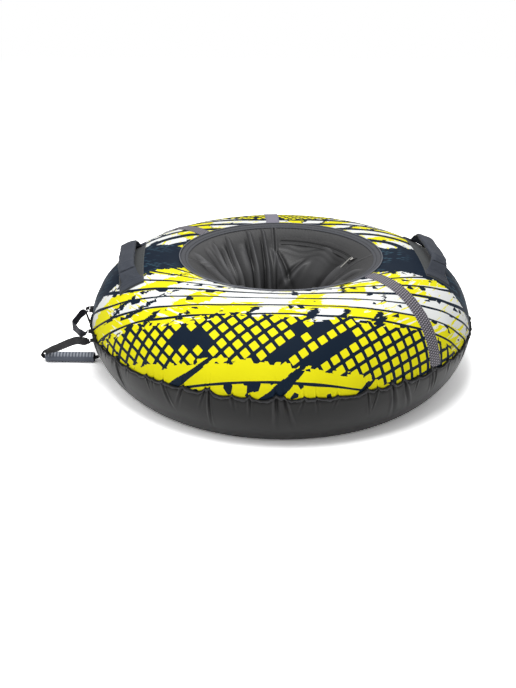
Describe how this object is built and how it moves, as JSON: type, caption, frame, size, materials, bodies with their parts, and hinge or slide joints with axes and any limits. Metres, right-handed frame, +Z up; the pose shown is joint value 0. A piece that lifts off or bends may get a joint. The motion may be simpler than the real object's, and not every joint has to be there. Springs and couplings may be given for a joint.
{
  "type": "snow tube",
  "caption": "Inflatable ring sled in a printed fabric cover, with a cloth seat, padded side handles, a tow loop and a tow handle.",
  "frame": {"origin": "centre of the flat underside, on the ground", "axes": "+Z up; -Y towards the viewer of the picture; the tow fittings stand out towards -X"},
  "size_m": [1.213, 1.0572, 0.3446],
  "materials": {
    "printed_cloth": "printed polyester, satin",
    "bottom_cloth": "slippery coated cloth, low sheen",
    "seat_cloth": "coated polyester, satin",
    "binding": "gathered cloth edge, matt",
    "piping": "folded cloth edge, matt",
    "woven_tape": "patterned woven tape",
    "handle_cloth": "heavy woven cloth, matt",
    "patch_cloth": "heavy woven cloth, matt",
    "tow_webbing": "ribbed woven webbing",
    "grip_rubber": "ribbed soft plastic",
    "tube_rubber": "plain rubber",
    "foam": "closed-cell foam padding",
    "zip_cloth": "woven zip tape",
    "zip_metal": "dull metal",
    "pull_cord": "flat cord",
    "valve_brass": "turned brass",
    "valve_plastic": "moulded cap"
  },
  "bodies": {
    "cover": {"cover_bottom": "bottom_cloth", "cover_top": "printed_cloth", "handle_left_anchor_front": "handle_cloth", "handle_left_anchor_rear": "handle_cloth", "handle_left_patch": "patch_cloth", "handle_right_anchor_front": "handle_cloth", "handle_right_anchor_rear": "handle_cloth", "handle_right_patch": "patch_cloth", "inner_tube": "tube_rubber", "rim_facing": "seat_cloth", "rim_piping": "piping", "seam_binding": "binding", "seat_base": "seat_cloth", "seat_panel_back_left": "seat_cloth", "seat_panel_back_right": "seat_cloth", "seat_panel_front_left": "seat_cloth", "seat_panel_front_right": "seat_cloth", "tape_back": "woven_tape", "tape_back_left": "woven_tape", "tape_front_right": "woven_tape", "tow_loop_tab_front": "tow_webbing", "tow_loop_tab_rear": "tow_webbing", "tow_strap_tab_front": "tow_webbing", "tow_strap_tab_rear": "tow_webbing", "valve_core": "valve_brass", "valve_patch": "tube_rubber", "valve_stem": "valve_brass", "zip_chain": "zip_metal", "zip_tape_lower": "zip_cloth", "zip_tape_upper": "zip_cloth"},
    "handle_left": {"handle_left_sleeve": "handle_cloth", "handle_left_webbing": "tow_webbing", "handle_left_foam": "foam"},
    "handle_right": {"handle_right_sleeve": "handle_cloth", "handle_right_webbing": "tow_webbing", "handle_right_foam": "foam"},
    "tow_loop": {"tow_loop": "tow_webbing"},
    "tow_handle": {"tow_strap": "tow_webbing"},
    "tow_grip": {"tow_grip": "grip_rubber"},
    "zip_slider": {"zip_slider": "zip_metal"},
    "zip_pull": {"zip_pull": "pull_cord"},
    "valve_cap": {"valve_cap": "valve_plastic"}
  },
  "joints": [
    {"name": "handle_left_swing", "type": "hinge", "parent": "cover", "child": "handle_left", "pos_m": [-0.41139, -0.05051, 0.32221], "axis": [0.1219, -0.9925, 0], "range_deg": [-30, 30]},
    {"name": "handle_right_swing", "type": "hinge", "parent": "cover", "child": "handle_right", "pos_m": [0.41347, 0.02891, 0.32221], "axis": [-0.0698, 0.9976, 0], "range_deg": [-30, 30]},
    {"name": "tow_loop_flop", "type": "hinge", "parent": "cover", "child": "tow_loop", "pos_m": [-0.52538, -0.09975, 0.154], "axis": [0.1865, -0.9825, 0], "range_deg": [-45, 45]},
    {"name": "tow_handle_lift", "type": "hinge", "parent": "cover", "child": "tow_handle", "pos_m": [-0.5204, -0.10824, 0.15], "axis": [-0.2036, 0.979, 0], "range_deg": [0, 75]},
    {"name": "tow_grip_turn", "type": "hinge", "parent": "tow_handle", "child": "tow_grip", "pos_m": [-0.602, -0.042, 0.0145], "axis": [1, 0, 0], "continuous": true},
    {"name": "zip_slide", "type": "hinge", "parent": "cover", "child": "zip_slider", "pos_m": [0, 0, 0], "axis": [0, 0, 1], "range_deg": [0, 75]},
    {"name": "zip_pull_lift", "type": "hinge", "parent": "zip_slider", "child": "zip_pull", "pos_m": [0.19662, 0.04359, 0.29372], "axis": [-0.2164, 0.9763, 0], "range_deg": [0, 150]},
    {"name": "valve_cap_off", "type": "slide", "parent": "cover", "child": "valve_cap", "axis": [-0.5972, -0.7117, -0.3699], "range_m": [0, 0.008]}
  ]
}
